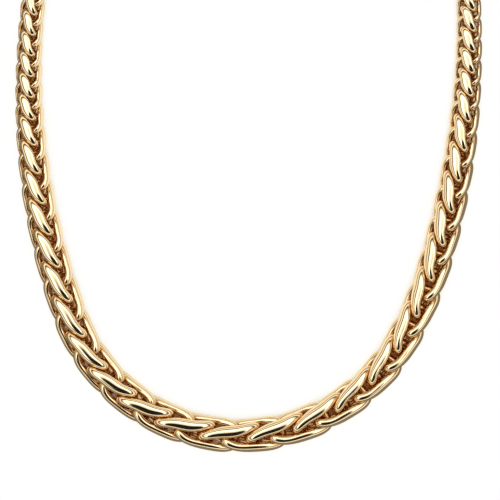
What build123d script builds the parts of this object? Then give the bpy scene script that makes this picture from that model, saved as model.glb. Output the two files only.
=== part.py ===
from build123d import *
import math
import os

# A graduated wheat chain, closed to a necklace and laid on a table as an oval loop, in millimetres.
# Each link is one fat wire bent to a long oval and twisted, and it passes through the two links before it.
# Twists to the left and to the right take turns, which gives the four rows of grains round the chain.
# +Z is up, the table is at Z = 0, and +Y points from the large links in front to the clasp at the back.

os.makedirs("parts", exist_ok=True)

# Driving dimensions: the loop of the centre line, from the middle of the clasp, anticlockwise from above.
# The radius None is a straight stretch, and the last bend's radius is worked out so that the loop closes.
LAY = [
    {"stretch": "clasp, left half", "length": 9.0, "radius": None},
    {"stretch": "back left bend", "length": 47.1, "radius": 38.5},
    {"stretch": "left side", "length": 115.8, "radius": 165.5},
    {"stretch": "front left bend", "length": 63.5, "radius": 43.3},
    {"stretch": "front right bend", "length": 36.0, "radius": 45.4},
    {"stretch": "right foot", "length": 18.7, "radius": 82.9},
    {"stretch": "right side", "length": 98.1, "radius": 194.4},
    {"stretch": "back right bend", "length": 52.8, "radius": None},
    {"stretch": "clasp, right half", "length": 9.0, "radius": None},
]
CLOSING_BEND = 7

# Where the largest link is, and the sizes at distances from it: pitch is from a link to the next but one,
# width is the chain's outside, depth and breadth are the wire's two thicknesses at the link's middle,
# tip is its breadth at the link's ends, and twist is in degrees from end to end.
LARGEST = 228.5
SIZES = [
    {"away": 0, "pitch": 11.3, "width": 8.30, "depth": 2.16, "breadth": 2.85, "tip": 2.05, "twist": 76},
    {"away": 15, "pitch": 11.1, "width": 8.30, "depth": 2.16, "breadth": 2.85, "tip": 2.05, "twist": 76},
    {"away": 30, "pitch": 10.1, "width": 8.40, "depth": 2.12, "breadth": 2.85, "tip": 2.05, "twist": 76},
    {"away": 45, "pitch": 9.5, "width": 8.45, "depth": 2.06, "breadth": 2.85, "tip": 2.00, "twist": 78},
    {"away": 55, "pitch": 9.3, "width": 8.40, "depth": 2.02, "breadth": 2.85, "tip": 2.00, "twist": 79},
    {"away": 65, "pitch": 8.7, "width": 8.25, "depth": 1.90, "breadth": 2.90, "tip": 1.90, "twist": 82},
    {"away": 75, "pitch": 7.9, "width": 8.00, "depth": 1.73, "breadth": 2.85, "tip": 1.85, "twist": 83},
    {"away": 85, "pitch": 7.5, "width": 7.70, "depth": 1.63, "breadth": 2.72, "tip": 1.78, "twist": 84},
    {"away": 95, "pitch": 7.0, "width": 7.30, "depth": 1.50, "breadth": 2.60, "tip": 1.70, "twist": 85},
    {"away": 103, "pitch": 6.0, "width": 6.90, "depth": 1.28, "breadth": 2.45, "tip": 1.65, "twist": 86},
    {"away": 110, "pitch": 5.1, "width": 6.50, "depth": 1.09, "breadth": 2.32, "tip": 1.58, "twist": 87},
    {"away": 118, "pitch": 5.0, "width": 6.15, "depth": 1.07, "breadth": 2.18, "tip": 1.55, "twist": 88},
    {"away": 130, "pitch": 4.9, "width": 5.80, "depth": 1.04, "breadth": 2.08, "tip": 1.46, "twist": 88},
    {"away": 150, "pitch": 4.6, "width": 5.35, "depth": 0.97, "breadth": 1.90, "tip": 1.36, "twist": 88},
    {"away": 175, "pitch": 4.3, "width": 5.00, "depth": 0.90, "breadth": 1.76, "tip": 1.27, "twist": 88},
    {"away": 230, "pitch": 4.1, "width": 4.60, "depth": 0.85, "breadth": 1.60, "tip": 1.17, "twist": 88},
]

# How far the chain is rolled about its own line, in degrees: 0 turns the seam where the links' back
# ends meet to the inside of the loop, 90 turns it up and 180 to the outside.
ROLLS = [
    {"along": 0, "roll": 90},
    {"along": 60, "roll": 125},
    {"along": 97, "roll": 152},
    {"along": 121, "roll": 152},
    {"along": 140, "roll": 150},
    {"along": 155, "roll": 146},
    {"along": 170, "roll": 144},
    {"along": 185, "roll": 141},
    {"along": 196, "roll": 135},
    {"along": 207, "roll": 125},
    {"along": 217, "roll": 120},
    {"along": 228, "roll": 114},
    {"along": 237, "roll": 109},
    {"along": 245, "roll": 104},
    {"along": 255, "roll": 100},
    {"along": 268, "roll": 101},
    {"along": 280, "roll": 100},
    {"along": 290, "roll": 102},
    {"along": 300, "roll": 107},
    {"along": 310, "roll": 112},
    {"along": 320, "roll": 118},
    {"along": 330, "roll": 122},
    {"along": 345, "roll": 124},
    {"along": 400, "roll": 150},
    {"along": 450, "roll": 180},
]

# The form of a link
ANCHOR = 226.6
TWIST_IN_MIDDLE = 0.5
END_SQUARENESS = 3.6
FREE_PLAY = 0.28

# Facets: a link's turns and its wire's sides. The largest links have more, because they sit closest.
WIRE_SIDES = 5
TURNS = 10
TURNS_LARGE = 14
LARGE_REACH = 75.0
FINE_STEPS = 360

# The clasp: one plain box that stands on the table, with a wire bow at each end
CLASP_LENGTH = 11.0
CLASP_WIDTH = 5.6
CLASP_HEIGHT = 4.3
CLASP_CORNER = 1.7
CLASP_EDGE = 0.5
BOW_WIRE = 0.9
BOW_RADIUS = 1.35
BOW_ROOT = 0.8
BOW_PLAY = 0.18
BOW_NUDGE = 0.04

# Two back ends closer than this are the same one
SAME_SPOT = 0.1


def lay_rows():
    """The stretches of the loop with their curvature, and the pose at each one's start."""
    turned = sum(row["length"] / row["radius"] for row in LAY if row["radius"])
    rows = []
    x, y, heading, along = 0.0, 0.0, math.pi, 0.0
    for number, row in enumerate(LAY):
        curvature = 1 / row["radius"] if row["radius"] else 0.0
        if number == CLOSING_BEND:
            curvature = (2 * math.pi - turned) / row["length"]
        rows.append((along, x, y, heading, curvature))
        x, y, heading = follow(x, y, heading, curvature, row["length"])
        along += row["length"]
    return rows, along, (x, y)


def follow(x, y, heading, curvature, length):
    """The pose after a length of an arc or of a straight stretch."""
    if curvature == 0:
        return x + length * math.cos(heading), y + length * math.sin(heading), heading
    turned = heading + curvature * length
    x += (math.sin(turned) - math.sin(heading)) / curvature
    y -= (math.cos(turned) - math.cos(heading)) / curvature
    return x, y, turned


ROWS, LOOP_LENGTH, MISFIT = lay_rows()


def column(table, key, name, at):
    """A value of a table between its rows."""
    if at <= table[0][key]:
        return table[0][name]
    for low, high in zip(table, table[1:]):
        if at <= high[key]:
            share = (at - low[key]) / (high[key] - low[key])
            return low[name] + share * (high[name] - low[name])
    return table[-1][name]


def size(name, along):
    return column(SIZES, "away", name, abs(along - LARGEST))


def place(across, beside, along):
    """A point given by the chain's own directions, in the frame of the part.

    across is the direction of the back ends' seam, beside that of the front ends' seam.
    """
    start, x, y, heading, curvature = [row for row in ROWS if row[0] <= along][-1]
    x, y, heading = follow(x, y, heading, curvature, along - start)
    x -= MISFIT[0] * along / LOOP_LENGTH
    y -= MISFIT[1] * along / LOOP_LENGTH
    inward = Vector(-math.sin(heading), math.cos(heading), 0)
    up = Vector(0, 0, 1)
    roll = math.radians(column(ROLLS, "along", "roll", along))
    across_way = inward * math.cos(roll) + up * math.sin(roll)
    beside_way = up * math.cos(roll) - inward * math.sin(roll)
    middle = Vector(x, y, size("width", along) / 2)
    return middle + across_way * across + beside_way * beside


def back_ends():
    """Where each link's back end crosses the centre line, half a pitch apart."""
    spots = [ANCHOR]
    while spots[-1] < LOOP_LENGTH:
        spots.append(spots[-1] + step_from(spots[-1], 1))
    while spots[0] > 0:
        spots.insert(0, spots[0] - step_from(spots[0], -1))
    return spots


def step_from(along, way):
    guess = along + way * size("pitch", along) / 4
    return size("pitch", guess) / 2


def make_links():
    """The links between the clasp's two bows, each with its ends, sizes and way of twist."""
    spots = back_ends()
    nearest = min(range(len(spots)), key=lambda number: abs(spots[number] - ANCHOR))
    depths = [size("depth", spot + size("pitch", spot) / 2) for spot in spots]
    links = []
    for number, back in enumerate(spots[:-3]):
        hooked, following = number + 2, number + 3
        room = spots[following] - spots[hooked]
        room -= depths[hooked] / 2 + depths[number] + depths[following] / 2
        front = spots[hooked] + (depths[hooked] + depths[number]) / 2 + min(FREE_PLAY, room / 2)
        middle = (back + front) / 2
        links.append({
            "back": back,
            "front": front,
            "depth": depths[number],
            "breadth": size("breadth", middle),
            "tip": size("tip", middle),
            "twist": math.radians(size("twist", middle)),
            "side": 1 if (number - nearest) % 2 else -1,
            "large": abs(middle - LARGEST) < LARGE_REACH,
        })
    room_for_clasp = CLASP_LENGTH / 2 + BOW_ROOT
    return [
        link for link in links
        if link["back"] - link["depth"] / 2 > room_for_clasp
        and link["front"] + link["depth"] / 2 < LOOP_LENGTH - room_for_clasp
    ]


def wire_point(link, turn):
    """A point on the middle line of a link's wire, and how far along the link it lies from 0 to 1.

    The line is a squared oval, turned bit by bit from the one seam nearly to the other.
    """
    cosine, sine = math.cos(turn), math.sin(turn)
    reach = math.copysign(abs(sine) ** (2 / END_SQUARENESS), sine)
    share = (1 - math.copysign(abs(cosine) ** (2 / END_SQUARENESS), cosine)) / 2
    along = link["back"] + share * (link["front"] - link["back"])
    radius = reach * (size("width", along) - link["depth"]) / 2
    turned = share + TWIST_IN_MIDDLE * math.sin(2 * math.pi * share) / (2 * math.pi)
    angle = link["side"] * (link["twist"] * (turned - 0.5) + math.pi / 4)
    return Vector(radius * math.cos(angle), radius * math.sin(angle), along), share


def even_turns(link, count):
    """Turns that divide the link's wire into equal lengths, with none at the middle of an end."""
    turns = [2 * math.pi * number / FINE_STEPS for number in range(FINE_STEPS + 1)]
    points = [wire_point(link, turn)[0] for turn in turns]
    lengths = [0.0]
    for before, after in zip(points, points[1:]):
        lengths.append(lengths[-1] + (after - before).length)
    evenly = []
    for number in range(count):
        wanted = lengths[-1] * (number + 0.5) / count
        after = next(i for i, length in enumerate(lengths) if length >= wanted)
        share = (wanted - lengths[after - 1]) / (lengths[after] - lengths[after - 1])
        evenly.append(turns[after - 1] + share * (turns[after] - turns[after - 1]))
    return evenly


def wire_ring(link, turn):
    """The corners of the wire's section at one turn. It is broadest at the middle of the link."""
    nudge = math.pi / FINE_STEPS
    centre, share = wire_point(link, turn)
    tangent = (wire_point(link, turn + nudge)[0] - wire_point(link, turn - nudge)[0]).normalized()
    outward = centre - Vector(0, 0, (link["back"] + link["front"]) / 2)
    outward = (outward - tangent * outward.dot(tangent)).normalized()
    sideways = tangent.cross(outward)
    breadth = link["tip"] + (link["breadth"] - link["tip"]) * math.sin(math.pi * share) ** 2
    corners = []
    for number in range(WIRE_SIDES):
        angle = 2 * math.pi * number / WIRE_SIDES
        corner = centre + outward * (math.cos(angle) * link["depth"] / 2)
        corner += sideways * (math.sin(angle) * breadth / 2)
        corners.append(place(corner.X, corner.Y, corner.Z))
    return corners


def link_rings(link):
    count = TURNS_LARGE if link["large"] else TURNS
    return [wire_ring(link, turn) for turn in even_turns(link, count)]


def faceted_solid(rings, shift):
    """A closed tube of triangles through a circle of rings."""
    faces = []
    for ring, following in zip(rings, rings[1:] + rings[:1]):
        for number in range(WIRE_SIDES):
            beyond = (number + 1) % WIRE_SIDES
            low, high = ring[number], ring[beyond]
            far_low, far_high = following[number], following[beyond]
            for triangle in ((low, high, far_high), (low, far_high, far_low)):
                corners = [corner + shift for corner in triangle]
                faces.append(Face(Wire.make_polygon(corners)))
    return Solid(Shell(faces))


def bow(tip, way, shift):
    """A round wire from inside the clasp's end, round an arch and back. tip is the arch's far middle."""
    root = way * (CLASP_LENGTH / 2 - BOW_ROOT)
    turn = way * (tip - BOW_RADIUS)
    height = size("width", 0) / 2
    path = Wire([
        Line((root, -BOW_RADIUS, height), (turn, -BOW_RADIUS, height)),
        ThreePointArc((turn, -BOW_RADIUS, height), (way * tip, 0, height), (turn, BOW_RADIUS, height)),
        Line((turn, BOW_RADIUS, height), (root, BOW_RADIUS, height)),
    ])
    start = Plane(origin=(root, -BOW_RADIUS, height), z_dir=(way, 0, 0))
    return sweep(start * Circle(BOW_WIRE / 2), path=path).moved(Location(shift))


def make_clasp(left_tip, right_tip, shift):
    """The closed clasp with its bows, which run on through the last two links at each end."""
    outline = extrude(RectangleRounded(CLASP_LENGTH, CLASP_WIDTH, CLASP_CORNER), CLASP_HEIGHT)
    rims = outline.faces().sort_by(Axis.Z)
    box = fillet(rims[0].edges() + rims[-1].edges(), CLASP_EDGE)
    box = box.moved(Location(shift))
    return box + bow(left_tip, -1, shift) + bow(right_tip, 1, shift)


def box_middle(rings):
    """The shift that puts the middle of the loop's box on the frame's Z axis."""
    corners = [corner for ring in rings for corner in ring]
    x_low, x_high = min(c.X for c in corners), max(c.X for c in corners)
    y_low, y_high = min(c.Y for c in corners), max(CLASP_WIDTH / 2, *(c.Y for c in corners))
    return Vector(-(x_low + x_high) / 2, -(y_low + y_high) / 2, 0)


links = make_links()
all_rings = [link_rings(link) for link in links]
shift = box_middle([ring for rings in all_rings for ring in rings])

# The left bow arches just in front of the second link's back end, as the link before it would.
second = links[1]
left_tip = second["back"] + (second["depth"] + BOW_WIRE) / 2 + BOW_PLAY
# The right bow arches where the back end of one more link would be, a little nearer to the chain.
next_end = min(spot for spot in back_ends() if spot > links[-1]["back"] + SAME_SPOT)
right_tip = LOOP_LENGTH - next_end + BOW_NUDGE

solids = [faceted_solid(rings, shift) for rings in all_rings]
halves = {"chain_left": [], "chain_right": []}
for link, solid in zip(links, solids):
    middle = (link["back"] + link["front"]) / 2
    halves["chain_left" if middle < LARGEST else "chain_right"].append(solid)
for name, members in halves.items():
    export_step(Compound(children=members), f"parts/{name}.step")
clasp = make_clasp(left_tip, right_tip, shift)
export_step(clasp, "parts/clasp.step")

print("links", len(links), "loop", LOOP_LENGTH, "misfit", MISFIT, "shift", shift)
print("left tip", left_tip, "right tip", right_tip, "clasp solids", len(clasp.solids()))
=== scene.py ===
import math

import bpy
import numpy as np
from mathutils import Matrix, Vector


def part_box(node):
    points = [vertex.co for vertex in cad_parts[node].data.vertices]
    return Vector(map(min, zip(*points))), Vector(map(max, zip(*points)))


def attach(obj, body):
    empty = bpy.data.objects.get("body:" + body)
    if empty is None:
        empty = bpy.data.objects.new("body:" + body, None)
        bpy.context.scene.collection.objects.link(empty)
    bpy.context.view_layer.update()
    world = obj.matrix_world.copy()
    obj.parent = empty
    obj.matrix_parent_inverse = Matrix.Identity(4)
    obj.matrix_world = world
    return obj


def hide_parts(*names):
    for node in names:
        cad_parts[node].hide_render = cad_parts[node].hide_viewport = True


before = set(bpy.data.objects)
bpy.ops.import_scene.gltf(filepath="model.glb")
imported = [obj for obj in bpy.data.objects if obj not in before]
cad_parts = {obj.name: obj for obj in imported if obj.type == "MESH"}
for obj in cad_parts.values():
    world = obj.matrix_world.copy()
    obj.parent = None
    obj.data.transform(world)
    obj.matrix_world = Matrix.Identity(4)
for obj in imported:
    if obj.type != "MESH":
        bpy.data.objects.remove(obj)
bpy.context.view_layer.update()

# A graduated wheat chain of polished yellow gold, laid on a pale table as an oval loop.
# Each link is one fat wire ring, pulled out to a long squared oval and twisted, which passes
# through the two links before it. Sizes are in millimetres until a point is placed.
MM = 0.001

# The loop of the centre line, from the middle of the clasp, anticlockwise from above.
# The radius None is a straight stretch, and the closing bend's radius is worked out.
LAY = [
    {"stretch": "clasp, left half", "length": 9.0, "radius": None},
    {"stretch": "back left bend", "length": 47.1, "radius": 38.5},
    {"stretch": "left side", "length": 115.8, "radius": 165.5},
    {"stretch": "front left bend", "length": 63.5, "radius": 43.3},
    {"stretch": "front right bend", "length": 36.0, "radius": 45.4},
    {"stretch": "right foot", "length": 18.7, "radius": 82.9},
    {"stretch": "right side", "length": 98.1, "radius": 194.4},
    {"stretch": "back right bend", "length": 52.8, "radius": None},
    {"stretch": "clasp, right half", "length": 9.0, "radius": None},
]
CLOSING_BEND = 7

# Where the largest link is, and the sizes at distances from it: pitch is from a link to the next
# but one, width is the chain's outside, depth and breadth are the wire's two thicknesses at the
# link's middle, tip is its breadth at the link's ends, and twist is in degrees from end to end.
LARGEST = 228.5
SIZES = [
    {"away": 0, "pitch": 11.3, "width": 8.30, "depth": 2.16, "breadth": 3.05, "tip": 2.25, "twist": 76},
    {"away": 15, "pitch": 11.1, "width": 8.30, "depth": 2.16, "breadth": 3.05, "tip": 2.25, "twist": 76},
    {"away": 30, "pitch": 10.1, "width": 8.40, "depth": 2.12, "breadth": 3.05, "tip": 2.25, "twist": 76},
    {"away": 45, "pitch": 9.5, "width": 8.45, "depth": 2.06, "breadth": 3.05, "tip": 2.20, "twist": 78},
    {"away": 55, "pitch": 9.3, "width": 8.40, "depth": 2.02, "breadth": 3.05, "tip": 2.20, "twist": 79},
    {"away": 65, "pitch": 8.7, "width": 8.25, "depth": 1.90, "breadth": 3.10, "tip": 2.10, "twist": 82},
    {"away": 75, "pitch": 7.9, "width": 8.00, "depth": 1.73, "breadth": 3.05, "tip": 2.05, "twist": 83},
    {"away": 85, "pitch": 7.5, "width": 7.70, "depth": 1.63, "breadth": 2.92, "tip": 1.98, "twist": 84},
    {"away": 95, "pitch": 7.0, "width": 7.30, "depth": 1.50, "breadth": 2.80, "tip": 1.90, "twist": 85},
    {"away": 103, "pitch": 6.0, "width": 6.90, "depth": 1.28, "breadth": 2.65, "tip": 1.85, "twist": 86},
    {"away": 110, "pitch": 5.1, "width": 6.50, "depth": 1.09, "breadth": 2.52, "tip": 1.78, "twist": 87},
    {"away": 118, "pitch": 5.0, "width": 6.15, "depth": 1.07, "breadth": 2.38, "tip": 1.75, "twist": 88},
    {"away": 130, "pitch": 4.9, "width": 5.80, "depth": 1.04, "breadth": 2.28, "tip": 1.66, "twist": 88},
    {"away": 150, "pitch": 4.6, "width": 5.35, "depth": 0.97, "breadth": 2.10, "tip": 1.56, "twist": 88},
    {"away": 175, "pitch": 4.3, "width": 5.00, "depth": 0.90, "breadth": 1.96, "tip": 1.47, "twist": 88},
    {"away": 230, "pitch": 4.1, "width": 4.60, "depth": 0.85, "breadth": 1.80, "tip": 1.37, "twist": 88},
]

# How far the chain is rolled about its own line: 0 turns the seam where the links' back ends
# meet to the inside of the loop, 90 turns it up and 180 to the outside.
ROLLS = [
    {"along": 0, "roll": 90},
    {"along": 60, "roll": 125},
    {"along": 97, "roll": 152},
    {"along": 121, "roll": 152},
    {"along": 140, "roll": 150},
    {"along": 155, "roll": 146},
    {"along": 170, "roll": 144},
    {"along": 185, "roll": 141},
    {"along": 196, "roll": 135},
    {"along": 207, "roll": 125},
    {"along": 217, "roll": 120},
    {"along": 228, "roll": 114},
    {"along": 237, "roll": 109},
    {"along": 245, "roll": 104},
    {"along": 255, "roll": 100},
    {"along": 268, "roll": 101},
    {"along": 280, "roll": 100},
    {"along": 290, "roll": 102},
    {"along": 300, "roll": 107},
    {"along": 310, "roll": 112},
    {"along": 320, "roll": 118},
    {"along": 330, "roll": 122},
    {"along": 345, "roll": 124},
    {"along": 400, "roll": 150},
    {"along": 450, "roll": 180},
]

# The form of a link
ANCHOR = 226.6
TWIST_IN_MIDDLE = 0.65
END_SQUARENESS = 5.0
FREE_PLAY = 0.28
TURNS = 60
WIRE_SIDES = 20
FINE_STEPS = 720
BEND_WEIGHT = 0.5

# The clasp's box and its bows, by which the loop's start is found
CLASP_LENGTH = 11.0
BOW_WIRE = 0.9
BOW_ROOT = 0.8
BOW_PLAY = 0.18
BOW_NUDGE = 0.04
SAME_SPOT = 0.1

# The photograph's frame: its width at the chain, and the point of the table under its middle
FRAME_WIDTH = 120.0
FRAME_MIDDLE = (0.25, -38.6)
CAMERA_HEIGHT = 900.0
SENSOR_WIDTH = 36.0
CLIP_START = 10.0
CLIP_END = 20000.0

# The light tent: its brightness by the height of the way to it, 0 at the horizon and 1 straight up
TENT_BANDS = [
    {"height": 0.00, "light": (0.14, 0.12, 0.09)},
    {"height": 0.18, "light": (0.55, 0.52, 0.46)},
    {"height": 0.34, "light": (1.40, 1.36, 1.28)},
    {"height": 0.44, "light": (1.30, 1.26, 1.18)},
    {"height": 0.50, "light": (0.12, 0.11, 0.07)},
    {"height": 0.60, "light": (0.12, 0.11, 0.07)},
    {"height": 0.74, "light": (1.60, 1.60, 1.60)},
    {"height": 0.82, "light": (2.80, 2.80, 2.80)},
    {"height": 0.92, "light": (1.50, 1.50, 1.50)},
    {"height": 1.00, "light": (1.00, 1.00, 0.97)},
]

# The dark opening in the tent's top, towards the front, which shows as stripes in the gold
OPENING_WAY = (0.06, -0.45, 0.89)
OPENING_SQUEEZE = (1.15, 1.0, 1.0)
OPENING_RADIUS = 0.56
OPENING_EDGE = 0.09
OPENING_LIGHT = 0.01

# Painted reflection: the table glows for the gold's reflections only, one tone within the loop and one
# outside it, which paints the gold's outer sides dark. Half the loop's breadth and length come first,
# and the border is given in shares of them.
LOOP_HALF = (52.0, 83.0)
LOOP_BORDER = (0.88, 1.08)
PAINTED_REFLECTION_INSIDE = (1.15, 1.09, 0.96)
PAINTED_REFLECTION_OUTSIDE = (0.26, 0.23, 0.19)

# The table as it is seen: white in the open, with a painted warm glow of light from the gold beside it
# and a painted dark shadow where the gold covers it.
# The reach is how near a thing has to be to cover it, and the pairs are the open share of the way up
# at which the one tone begins to give way to the next, and has done so.
TABLE_RADIUS = 4000.0
TABLE_CORNERS = 64
TABLE_OPEN = (1.0, 1.0, 1.0)
TABLE_PAINTED_GLOW = (1.0, 0.93, 0.74)
TABLE_PAINTED_SHADOW = (0.15, 0.055, 0.015)
TABLE_BODY = (0.96, 0.96, 0.96)
TABLE_ROUGHNESS = 0.9
COVER_REACH = 9.0
COVER = (0.31, 0.45)
BESIDE = (0.42, 0.60)
COVER_SAMPLES = 12

# The gold: its own tone, and a darker, redder tone painted as shade deep between the links
OPEN_TONE = (0.90, 0.715, 0.45, 1)
PAINTED_SHADE_TONE = (0.68, 0.385, 0.16, 1)
# Where the painted shade begins and ends, and how uneven its border is; the same border also makes the
# gold duller there
SHELTER_BORDER = (0.18, 0.62)
SHELTER_UNEVENNESS = 0.25
MOTTLE_DETAIL = 3
HAIRLINE_SLANTS = (0.6, 2.2)
HAIRLINE_STRETCH = 14.0
HAIRLINE_DETAIL = 1
HAIRLINE_CREST = (0.60, 0.72)
HAIRLINE_DULLING = 0.45
HAIRLINE_DEPTH = 0.12


def deselect_all():
    for thing in bpy.context.selected_objects:
        thing.select_set(False)


def column(table, key, name, at):
    """Values of a table between its rows."""
    return np.interp(at, [row[key] for row in table], [row[name] for row in table])


def size(name, along):
    return column(SIZES, "away", name, np.abs(np.asarray(along) - LARGEST))


def follow(x, y, heading, curvature, length):
    """The pose after a length of an arc or of a straight stretch."""
    if curvature == 0:
        return x + length * np.cos(heading), y + length * np.sin(heading), heading + 0 * length
    turned = heading + curvature * length
    x = x + (np.sin(turned) - np.sin(heading)) / curvature
    y = y - (np.cos(turned) - np.cos(heading)) / curvature
    return x, y, turned


def lay_rows():
    """The stretches of the loop with their curvature, and the pose at each one's start."""
    turned = sum(row["length"] / row["radius"] for row in LAY if row["radius"])
    rows = []
    x, y, heading, along = 0.0, 0.0, math.pi, 0.0
    for number, row in enumerate(LAY):
        curvature = 1 / row["radius"] if row["radius"] else 0.0
        if number == CLOSING_BEND:
            curvature = (2 * math.pi - turned) / row["length"]
        rows.append((along, x, y, heading, curvature))
        x, y, heading = follow(x, y, heading, curvature, row["length"])
        along += row["length"]
    return rows, along, (x, y)


ROWS, LOOP_LENGTH, MISFIT = lay_rows()


def back_ends():
    """Where each link's back end crosses the centre line, half a pitch apart."""
    spots = [ANCHOR]
    while spots[-1] < LOOP_LENGTH:
        spots.append(spots[-1] + step_from(spots[-1], 1))
    while spots[0] > 0:
        spots.insert(0, spots[0] - step_from(spots[0], -1))
    return spots


def step_from(along, way):
    guess = along + way * size("pitch", along) / 4
    return float(size("pitch", guess)) / 2


def make_links():
    """The links between the clasp's two bows, each with its ends, sizes and way of twist."""
    spots = back_ends()
    nearest = min(range(len(spots)), key=lambda number: abs(spots[number] - ANCHOR))
    depths = [float(size("depth", spot + size("pitch", spot) / 2)) for spot in spots]
    links = []
    for number, back in enumerate(spots[:-3]):
        hooked, following = number + 2, number + 3
        room = spots[following] - spots[hooked]
        room -= depths[hooked] / 2 + depths[number] + depths[following] / 2
        front = spots[hooked] + (depths[hooked] + depths[number]) / 2 + min(FREE_PLAY, room / 2)
        links.append({
            "back": back,
            "front": front,
            "depth": depths[number],
            "breadth": float(size("breadth", (back + front) / 2)),
            "tip": float(size("tip", (back + front) / 2)),
            "twist": math.radians(size("twist", (back + front) / 2)),
            "side": 1 if (number - nearest) % 2 else -1,
        })
    room_for_clasp = CLASP_LENGTH / 2 + BOW_ROOT
    return [
        link for link in links
        if link["back"] - link["depth"] / 2 > room_for_clasp
        and link["front"] + link["depth"] / 2 < LOOP_LENGTH - room_for_clasp
    ]


def loop_start(links):
    """The clasp's middle on the table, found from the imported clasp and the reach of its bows."""
    low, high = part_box("clasp")
    second = links[1]
    left_tip = second["back"] + (second["depth"] + BOW_WIRE) / 2 + BOW_PLAY
    next_end = min(spot for spot in back_ends() if spot > links[-1]["back"] + SAME_SPOT)
    right_tip = LOOP_LENGTH - next_end + BOW_NUDGE
    x = (low.x + high.x) / 2 / MM + (left_tip - right_tip) / 2
    y = (low.y + high.y) / 2 / MM
    return x, y


def place(points, start):
    """Points given by the chain's own directions, in the frame of the part.

    The columns are across, the way of the back ends' seam, beside, the way of the front ends' seam,
    and along.
    """
    across, beside, along = points.T
    which = np.searchsorted([row[0] for row in ROWS], along, side="right") - 1
    x, y, heading = np.empty_like(along), np.empty_like(along), np.empty_like(along)
    for number in np.unique(which):
        begin, row_x, row_y, row_heading, curvature = ROWS[number]
        here = which == number
        moved = follow(row_x, row_y, row_heading, curvature, along[here] - begin)
        x[here], y[here], heading[here] = moved
    x += start[0] - MISFIT[0] * along / LOOP_LENGTH
    y += start[1] - MISFIT[1] * along / LOOP_LENGTH
    roll = np.radians(column(ROLLS, "along", "roll", along))
    inward = across * np.cos(roll) - beside * np.sin(roll)
    up = across * np.sin(roll) + beside * np.cos(roll)
    x -= inward * np.sin(heading)
    y += inward * np.cos(heading)
    z = size("width", along) / 2 + up
    return np.column_stack([x, y, z]) * MM


def wire_line(link, turn):
    """Points on the middle line of a link's wire, and how far along the link they lie, 0 to 1.

    The line is a squared oval, turned bit by bit from the one seam nearly to the other.
    """
    cosine, sine = np.cos(turn), np.sin(turn)
    reach = np.sign(sine) * np.abs(sine) ** (2 / END_SQUARENESS)
    share = (1 - np.sign(cosine) * np.abs(cosine) ** (2 / END_SQUARENESS)) / 2
    along = link["back"] + share * (link["front"] - link["back"])
    radius = reach * (size("width", along) - link["depth"]) / 2
    turned = share + TWIST_IN_MIDDLE * np.sin(2 * np.pi * share) / (2 * np.pi)
    angle = link["side"] * (link["twist"] * (turned - 0.5) + np.pi / 4)
    line = np.column_stack([radius * np.cos(angle), radius * np.sin(angle), along])
    return line, share


def spread_turns(link):
    """Turns along the link's wire, close together where it bends and wider apart where it runs."""
    turns = np.linspace(0, 2 * np.pi, FINE_STEPS + 1)
    steps = np.diff(wire_line(link, turns)[0], axis=0)
    lengths = np.linalg.norm(steps, axis=1)
    ways = steps / lengths[:, None]
    bends = np.arccos(np.clip((ways * np.roll(ways, 1, axis=0)).sum(axis=1), -1, 1))
    weights = lengths / lengths.sum() + BEND_WEIGHT * bends / bends.sum()
    reached = np.concatenate([[0], np.cumsum(weights)])
    return np.interp(reached[-1] * (np.arange(TURNS) + 0.5) / TURNS, reached, turns)


def wire_blank():
    """A round closed ring of wire, and for each of its corners the turn and the way round the wire."""
    deselect_all()
    bpy.ops.mesh.primitive_torus_add(
        major_segments=TURNS, minor_segments=WIRE_SIDES, major_radius=1.0, minor_radius=0.3,
    )
    blank = bpy.context.object
    bpy.ops.object.shade_smooth()
    corners = np.empty(len(blank.data.vertices) * 3)
    blank.data.vertices.foreach_get("co", corners)
    x, y, z = corners.reshape(-1, 3).T
    station = np.round(np.arctan2(y, x) / (2 * np.pi) * TURNS).astype(int) % TURNS
    around = np.arctan2(z, np.hypot(x, y) - 1.0)
    return blank, station, around


def bend_link(blank, station, around, link, start):
    """A copy of the ring, pulled onto the twisted oval of one link and laid in its place."""
    turns = spread_turns(link)
    nudge = math.pi / FINE_STEPS
    centre, share = wire_line(link, turns)
    tangent = wire_line(link, turns + nudge)[0] - wire_line(link, turns - nudge)[0]
    tangent /= np.linalg.norm(tangent, axis=1)[:, None]
    outward = centre - [0, 0, (link["back"] + link["front"]) / 2]
    outward -= tangent * (outward * tangent).sum(axis=1)[:, None]
    outward /= np.linalg.norm(outward, axis=1)[:, None]
    sideways = np.cross(outward, tangent)
    breadth = link["tip"] + (link["breadth"] - link["tip"]) * np.sin(np.pi * share) ** 2
    points = centre[station]
    points = points + outward[station] * (np.cos(around) * link["depth"] / 2)[:, None]
    points = points + sideways[station] * (np.sin(around) * breadth[station] / 2)[:, None]
    piece = blank.copy()
    piece.data = blank.data.copy()
    bpy.context.scene.collection.objects.link(piece)
    piece.data.vertices.foreach_set("co", place(points, start).ravel())
    # How deep between the links each corner lies, near the chain's axis; there the gold is painted
    # darker as shade, and made duller
    off_axis = np.hypot(points[:, 0], points[:, 1])
    shelter = piece.data.attributes.new("shelter", "FLOAT", "POINT")
    shelter.data.foreach_set("value", 1 - off_axis / (size("width", points[:, 2]) / 2))
    piece.data.update()
    return piece


def join_pieces(pieces, name):
    """One object of several, with its origin at the frame's."""
    deselect_all()
    for piece in pieces:
        piece.select_set(True)
    bpy.context.view_layer.objects.active = pieces[0]
    bpy.ops.object.join()
    joined = bpy.context.object
    joined.name = name
    joined.data.name = name
    return joined


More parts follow.
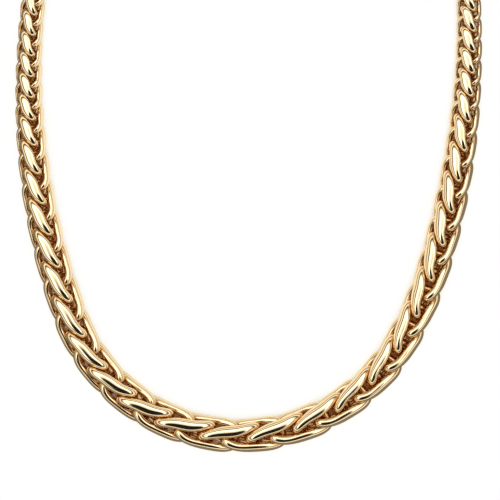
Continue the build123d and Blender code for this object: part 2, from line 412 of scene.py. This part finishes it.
def make_chain(gold):
    """Both halves of the chain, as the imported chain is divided, at the largest link."""
    links = make_links()
    start = loop_start(links)
    blank, station, around = wire_blank()
    blank.data.materials.append(gold)
    halves = {"left": [], "right": []}
    for link in links:
        middle = (link["back"] + link["front"]) / 2
        half = "left" if middle < LARGEST else "right"
        halves[half].append(bend_link(blank, station, around, link, start))
    bpy.data.objects.remove(blank)
    for half, pieces in halves.items():
        chain = join_pieces(pieces, f"wheat_links_{half}")
        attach(chain, "root")
        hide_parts(f"chain_{half}")


def link_nodes(tree, *pairs):
    for source, target in pairs:
        tree.links.new(source, target)


def add_math(tree, operation, factor=None):
    """A math node, with its second value where that is set here."""
    math_node = tree.nodes.new("ShaderNodeMath")
    math_node.operation = operation
    if factor is not None:
        math_node.inputs[1].default_value = factor
    return math_node


def add_noise(tree, detail):
    """A noise whose place and scale are linked later."""
    noise = tree.nodes.new("ShaderNodeTexNoise")
    noise.inputs["Detail"].default_value = detail
    return noise


def add_range(tree, limits, smooth=False):
    """The values between two limits, spread from 0 to 1."""
    spread = tree.nodes.new("ShaderNodeMapRange")
    spread.inputs["From Min"].default_value, spread.inputs["From Max"].default_value = limits
    if smooth:
        spread.interpolation_type = "SMOOTHSTEP"
    return spread


def add_colour_mix(tree, **colours):
    """A mix of colour A and colour B, with those that are set here."""
    mix = tree.nodes.new("ShaderNodeMix")
    mix.data_type = "RGBA"
    for socket, colour in colours.items():
        mix.inputs[socket].default_value = (*colour, 1)
    return mix


def polish_and_shade_group():
    """Polishing, wear and painted shade on gold: its tone, darkened as painted shade deep between the
    links, its sheen and its finest relief.
    """
    group = bpy.data.node_groups.new("worn_polish_and_painted_shade", "ShaderNodeTree")
    face = group.interface
    face.new_socket("Open Tone", in_out="INPUT", socket_type="NodeSocketColor")
    face.new_socket("Painted Shade Tone", in_out="INPUT", socket_type="NodeSocketColor")
    face.new_socket("Shelter", in_out="INPUT", socket_type="NodeSocketFloat")
    face.new_socket("Mottle Scale", in_out="INPUT", socket_type="NodeSocketFloat")
    face.new_socket("Scratch Scale", in_out="INPUT", socket_type="NodeSocketFloat")
    face.new_socket("Polished Roughness", in_out="INPUT", socket_type="NodeSocketFloat")
    face.new_socket("Dulled Roughness", in_out="INPUT", socket_type="NodeSocketFloat")
    face.new_socket("Tone", in_out="OUTPUT", socket_type="NodeSocketColor")
    face.new_socket("Roughness", in_out="OUTPUT", socket_type="NodeSocketFloat")
    face.new_socket("Relief", in_out="OUTPUT", socket_type="NodeSocketFloat")
    nodes = group.nodes
    given = nodes.new("NodeGroupInput")
    result = nodes.new("NodeGroupOutput")
    place_on = nodes.new("ShaderNodeTexCoord")

    mottle = add_noise(group, MOTTLE_DETAIL)
    link_nodes(
        group,
        (place_on.outputs["Object"], mottle.inputs["Vector"]),
        (given.outputs["Mottle Scale"], mottle.inputs["Scale"]),
    )

    # Hairlines: noise drawn out along two slanted directions, of which only thin crests stay
    hairlines = []
    for slant in HAIRLINE_SLANTS:
        turn = nodes.new("ShaderNodeMapping")
        turn.inputs["Rotation"].default_value = (slant, slant / 2, slant)
        turn.inputs["Scale"].default_value = (1.0, HAIRLINE_STRETCH, HAIRLINE_STRETCH)
        noise = add_noise(group, HAIRLINE_DETAIL)
        crest = add_range(group, HAIRLINE_CREST)
        link_nodes(
            group,
            (place_on.outputs["Object"], turn.inputs["Vector"]),
            (turn.outputs["Vector"], noise.inputs["Vector"]),
            (given.outputs["Scratch Scale"], noise.inputs["Scale"]),
            (noise.outputs["Fac"], crest.inputs["Value"]),
        )
        hairlines.append(crest.outputs["Result"])
    scratches = add_math(group, "MAXIMUM")
    link_nodes(
        group,
        (hairlines[0], scratches.inputs[0]),
        (hairlines[1], scratches.inputs[1]),
    )

    # Painted shade: the tone turns darker and redder deep between the links, with an uneven border
    shade_and_dulling = add_range(group, SHELTER_BORDER)
    blotch = add_math(group, "MULTIPLY_ADD", SHELTER_UNEVENNESS)
    tone = add_colour_mix(group)
    link_nodes(
        group,
        (mottle.outputs["Fac"], blotch.inputs[0]),
        (given.outputs["Shelter"], blotch.inputs[2]),
        (blotch.outputs["Value"], shade_and_dulling.inputs["Value"]),
        (shade_and_dulling.outputs["Result"], tone.inputs["Factor"]),
        (given.outputs["Open Tone"], tone.inputs["A"]),
        (given.outputs["Painted Shade Tone"], tone.inputs["B"]),
        (tone.outputs["Result"], result.inputs["Tone"]),
    )

    # Scratches and sheltered gold are duller than the polished crests
    dull = add_math(group, "MULTIPLY_ADD", HAIRLINE_DULLING)
    sheen = nodes.new("ShaderNodeMix")
    link_nodes(
        group,
        (scratches.outputs["Value"], dull.inputs[0]),
        (shade_and_dulling.outputs["Result"], dull.inputs[2]),
        (dull.outputs["Value"], sheen.inputs["Factor"]),
        (given.outputs["Polished Roughness"], sheen.inputs["A"]),
        (given.outputs["Dulled Roughness"], sheen.inputs["B"]),
        (sheen.outputs["Result"], result.inputs["Roughness"]),
    )

    relief = add_math(group, "MULTIPLY_ADD", -HAIRLINE_DEPTH)
    link_nodes(
        group,
        (scratches.outputs["Value"], relief.inputs[0]),
        (mottle.outputs["Fac"], relief.inputs[2]),
        (relief.outputs["Value"], result.inputs["Relief"]),
    )
    return group


def gold(name, group, values, relief_depth, shelter_attribute=None):
    """A polished gold with the group's tone and painted shade, sheen and relief, placed with its own
    values.
    """
    material = bpy.data.materials.new(name)
    material.use_nodes = True
    tree = material.node_tree
    shader = tree.nodes["Principled BSDF"]
    shader.inputs["Metallic"].default_value = 1.0
    polish_and_shade = tree.nodes.new("ShaderNodeGroup")
    polish_and_shade.node_tree = group
    for socket, value in values.items():
        polish_and_shade.inputs[socket].default_value = value
    bump = tree.nodes.new("ShaderNodeBump")
    bump.inputs["Distance"].default_value = relief_depth
    link_nodes(
        tree,
        (polish_and_shade.outputs["Tone"], shader.inputs["Base Color"]),
        (polish_and_shade.outputs["Roughness"], shader.inputs["Roughness"]),
        (polish_and_shade.outputs["Relief"], bump.inputs["Height"]),
        (bump.outputs["Normal"], shader.inputs["Normal"]),
    )
    # The painted shade deep between the links follows this attribute
    if shelter_attribute:
        shelter = tree.nodes.new("ShaderNodeAttribute")
        shelter.attribute_name = shelter_attribute
        tree.links.new(shelter.outputs["Fac"], polish_and_shade.inputs["Shelter"])
    return material


def table_tone(tree, path):
    """The table's painted tones: its painted reflection as the gold sees it, and its painted glow and
    shadow as the camera sees it.
    """
    # Painted reflection: the gold sees the table bright within the loop and dim outside it
    where = tree.nodes.new("ShaderNodeTexCoord")
    shrink = tree.nodes.new("ShaderNodeMapping")
    shrink.inputs["Scale"].default_value = (1 / (LOOP_HALF[0] * MM), 1 / (LOOP_HALF[1] * MM), 1)
    off_centre = tree.nodes.new("ShaderNodeVectorMath")
    off_centre.operation = "LENGTH"
    outside = add_range(tree, LOOP_BORDER)
    painted_reflection = add_colour_mix(tree, A=PAINTED_REFLECTION_INSIDE, B=PAINTED_REFLECTION_OUTSIDE)
    # Painted glow and painted shadow: by how open it is, the table is tinted warm beside the gold and
    # painted dark brown where the gold covers it
    openness = tree.nodes.new("ShaderNodeAmbientOcclusion")
    openness.samples = COVER_SAMPLES
    openness.inputs["Distance"].default_value = COVER_REACH * MM
    apart = add_range(tree, BESIDE)
    painted_glow = add_colour_mix(tree, A=TABLE_PAINTED_GLOW, B=TABLE_OPEN)
    seen = add_colour_mix(tree)
    uncovered = add_range(tree, COVER, smooth=True)
    tone = add_colour_mix(tree, A=TABLE_PAINTED_SHADOW)
    link_nodes(
        tree,
        (where.outputs["Object"], shrink.inputs["Vector"]),
        (shrink.outputs["Vector"], off_centre.inputs[0]),
        (off_centre.outputs["Value"], outside.inputs["Value"]),
        (outside.outputs["Result"], painted_reflection.inputs["Factor"]),
        (openness.outputs["AO"], apart.inputs["Value"]),
        (apart.outputs["Result"], painted_glow.inputs["Factor"]),
        (path.outputs["Is Glossy Ray"], seen.inputs["Factor"]),
        (painted_glow.outputs["Result"], seen.inputs["A"]),
        (painted_reflection.outputs["Result"], seen.inputs["B"]),
        (openness.outputs["AO"], uncovered.inputs["Value"]),
        (uncovered.outputs["Result"], tone.inputs["Factor"]),
        (seen.outputs["Result"], tone.inputs["B"]),
    )
    return tone.outputs["Result"]


def make_floor():
    """A plain white table, which glows with its own painted tones for the camera and for the gold's
    mirror, and is plain white to other rays.
    """
    deselect_all()
    bpy.ops.mesh.primitive_circle_add(
        vertices=TABLE_CORNERS, radius=TABLE_RADIUS * MM, fill_type="NGON",
    )
    floor = bpy.context.object
    floor.name = "floor"
    material = bpy.data.materials.new("pale_table")
    material.use_nodes = True
    tree = material.node_tree
    plain = tree.nodes["Principled BSDF"]
    plain.inputs["Base Color"].default_value = (*TABLE_BODY, 1)
    plain.inputs["Roughness"].default_value = TABLE_ROUGHNESS
    # The camera and the gold's reflections see the table glow with its painted shadow, glow and
    # reflection
    path = tree.nodes.new("ShaderNodeLightPath")
    glow = tree.nodes.new("ShaderNodeEmission")
    straight = add_math(tree, "MAXIMUM")
    mixed = tree.nodes.new("ShaderNodeMixShader")
    link_nodes(
        tree,
        (table_tone(tree, path), glow.inputs["Color"]),
        (path.outputs["Is Camera Ray"], straight.inputs[0]),
        (path.outputs["Is Glossy Ray"], straight.inputs[1]),
        (straight.outputs["Value"], mixed.inputs["Fac"]),
        (plain.outputs["BSDF"], mixed.inputs[1]),
        (glow.outputs["Emission"], mixed.inputs[2]),
        (mixed.outputs["Shader"], tree.nodes["Material Output"].inputs["Surface"]),
    )
    floor.data.materials.append(material)


def light_tent():
    """Soft white light from all round, with the dark opening that the picture is taken through."""
    world = bpy.data.worlds.new("light_tent")
    bpy.context.scene.world = world
    world.use_nodes = True
    tree = world.node_tree
    background = tree.nodes["Background"]
    way = tree.nodes.new("ShaderNodeTexCoord")
    parts = tree.nodes.new("ShaderNodeSeparateXYZ")
    ramp = tree.nodes.new("ShaderNodeValToRGB")
    stops = ramp.color_ramp.elements
    while len(stops) < len(TENT_BANDS):
        stops.new(0.5)
    for stop, band in zip(stops, TENT_BANDS):
        stop.position = band["height"]
        stop.color = (*band["light"], 1)
    from_opening = tree.nodes.new("ShaderNodeVectorMath")
    from_opening.operation = "SUBTRACT"
    from_opening.inputs[1].default_value = OPENING_WAY
    squeezed = tree.nodes.new("ShaderNodeVectorMath")
    squeezed.operation = "MULTIPLY"
    squeezed.inputs[1].default_value = OPENING_SQUEEZE
    off_opening = tree.nodes.new("ShaderNodeVectorMath")
    off_opening.operation = "LENGTH"
    edge = (OPENING_RADIUS - OPENING_EDGE, OPENING_RADIUS + OPENING_EDGE)
    open_light = add_range(tree, edge, smooth=True)
    open_light.inputs["To Min"].default_value = OPENING_LIGHT
    shaded = tree.nodes.new("ShaderNodeVectorMath")
    shaded.operation = "SCALE"
    link_nodes(
        tree,
        (way.outputs["Generated"], parts.inputs["Vector"]),
        (parts.outputs["Z"], ramp.inputs["Fac"]),
        (way.outputs["Generated"], from_opening.inputs[0]),
        (from_opening.outputs["Vector"], squeezed.inputs[0]),
        (squeezed.outputs["Vector"], off_opening.inputs[0]),
        (off_opening.outputs["Value"], open_light.inputs["Value"]),
        (ramp.outputs["Color"], shaded.inputs[0]),
        (open_light.outputs["Result"], shaded.inputs["Scale"]),
        (shaded.outputs["Vector"], background.inputs["Color"]),
    )


def make_camera():
    """Straight above, as the photograph looks at the chain."""
    camera = bpy.data.cameras.new("camera")
    camera.sensor_width = SENSOR_WIDTH
    camera.lens = SENSOR_WIDTH * CAMERA_HEIGHT / FRAME_WIDTH
    camera.clip_start = CLIP_START * MM
    camera.clip_end = CLIP_END * MM
    holder = bpy.data.objects.new("camera", camera)
    bpy.context.scene.collection.objects.link(holder)
    chain_height = float(size("width", LARGEST)) / 2
    holder.location = (FRAME_MIDDLE[0] * MM, FRAME_MIDDLE[1] * MM, (CAMERA_HEIGHT + chain_height) * MM)
    bpy.context.scene.camera = holder


polish_and_shade = polish_and_shade_group()
link_gold = gold(
    "gold_links",
    polish_and_shade,
    {
        "Open Tone": OPEN_TONE,
        "Painted Shade Tone": PAINTED_SHADE_TONE,
        "Mottle Scale": 260.0,
        "Scratch Scale": 900.0,
        "Polished Roughness": 0.06,
        "Dulled Roughness": 0.26,
    },
    relief_depth=0.000004,
    shelter_attribute="shelter",
)
clasp_gold = gold(
    "gold_clasp",
    polish_and_shade,
    {
        "Open Tone": OPEN_TONE,
        "Painted Shade Tone": PAINTED_SHADE_TONE,
        "Shelter": 0.0,
        "Mottle Scale": 200.0,
        "Scratch Scale": 700.0,
        "Polished Roughness": 0.10,
        "Dulled Roughness": 0.30,
    },
    relief_depth=0.000006,
)
make_camera()
make_chain(link_gold)
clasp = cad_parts["clasp"]
clasp.material_slots[0].material = clasp_gold
make_floor()
light_tent()
bpy.context.scene.view_settings.view_transform = "Standard"
